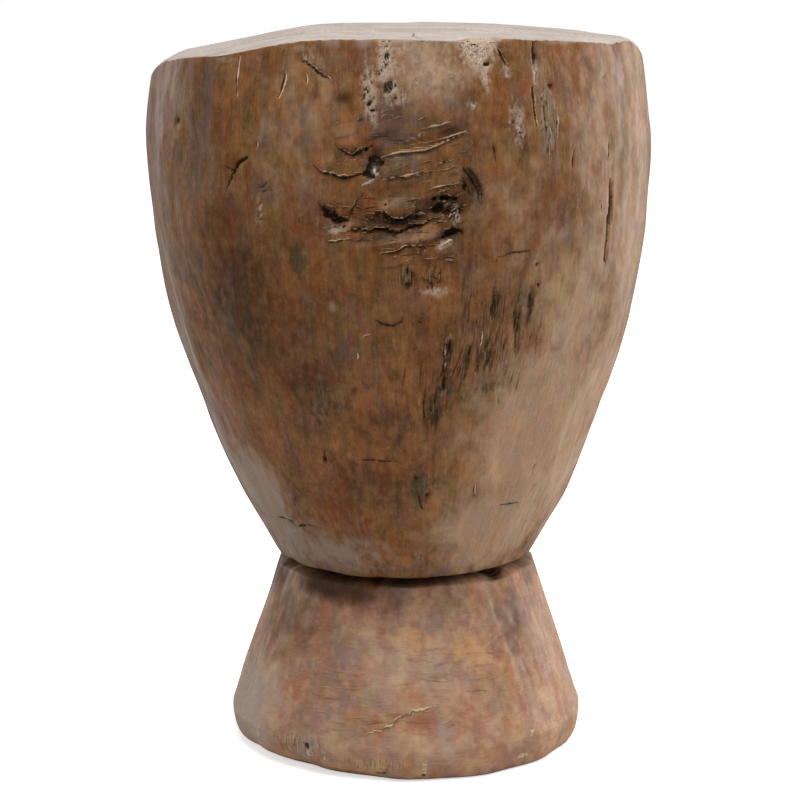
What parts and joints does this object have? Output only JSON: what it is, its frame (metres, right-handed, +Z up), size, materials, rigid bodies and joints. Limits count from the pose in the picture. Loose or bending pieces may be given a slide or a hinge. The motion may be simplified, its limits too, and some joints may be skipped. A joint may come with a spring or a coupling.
{
  "type": "wooden stool",
  "caption": "Hewn hardwood stool: a deep bowl-shaped seat block with a solid top, standing on a flared foot and joined at a narrow neck by a stub tenon.",
  "frame": {"origin": "on the floor, under the middle of the seat block's widest ring", "axes": "+Z up, the pictured front faces -Y, the seat falls away on the -X side"},
  "size_m": [0.3168, 0.3144, 0.45],
  "materials": {
    "seat_wood": "adze-hewn dark brown hardwood, worn to a dull sheen, with a grey weathered top",
    "foot_wood": "adze-hewn hardwood, worn paler and pinker than the seat, dull sheen"
  },
  "bodies": {
    "root": {"seat_block": "seat_wood", "foot_block": "foot_wood"}
  },
  "joints": []
}
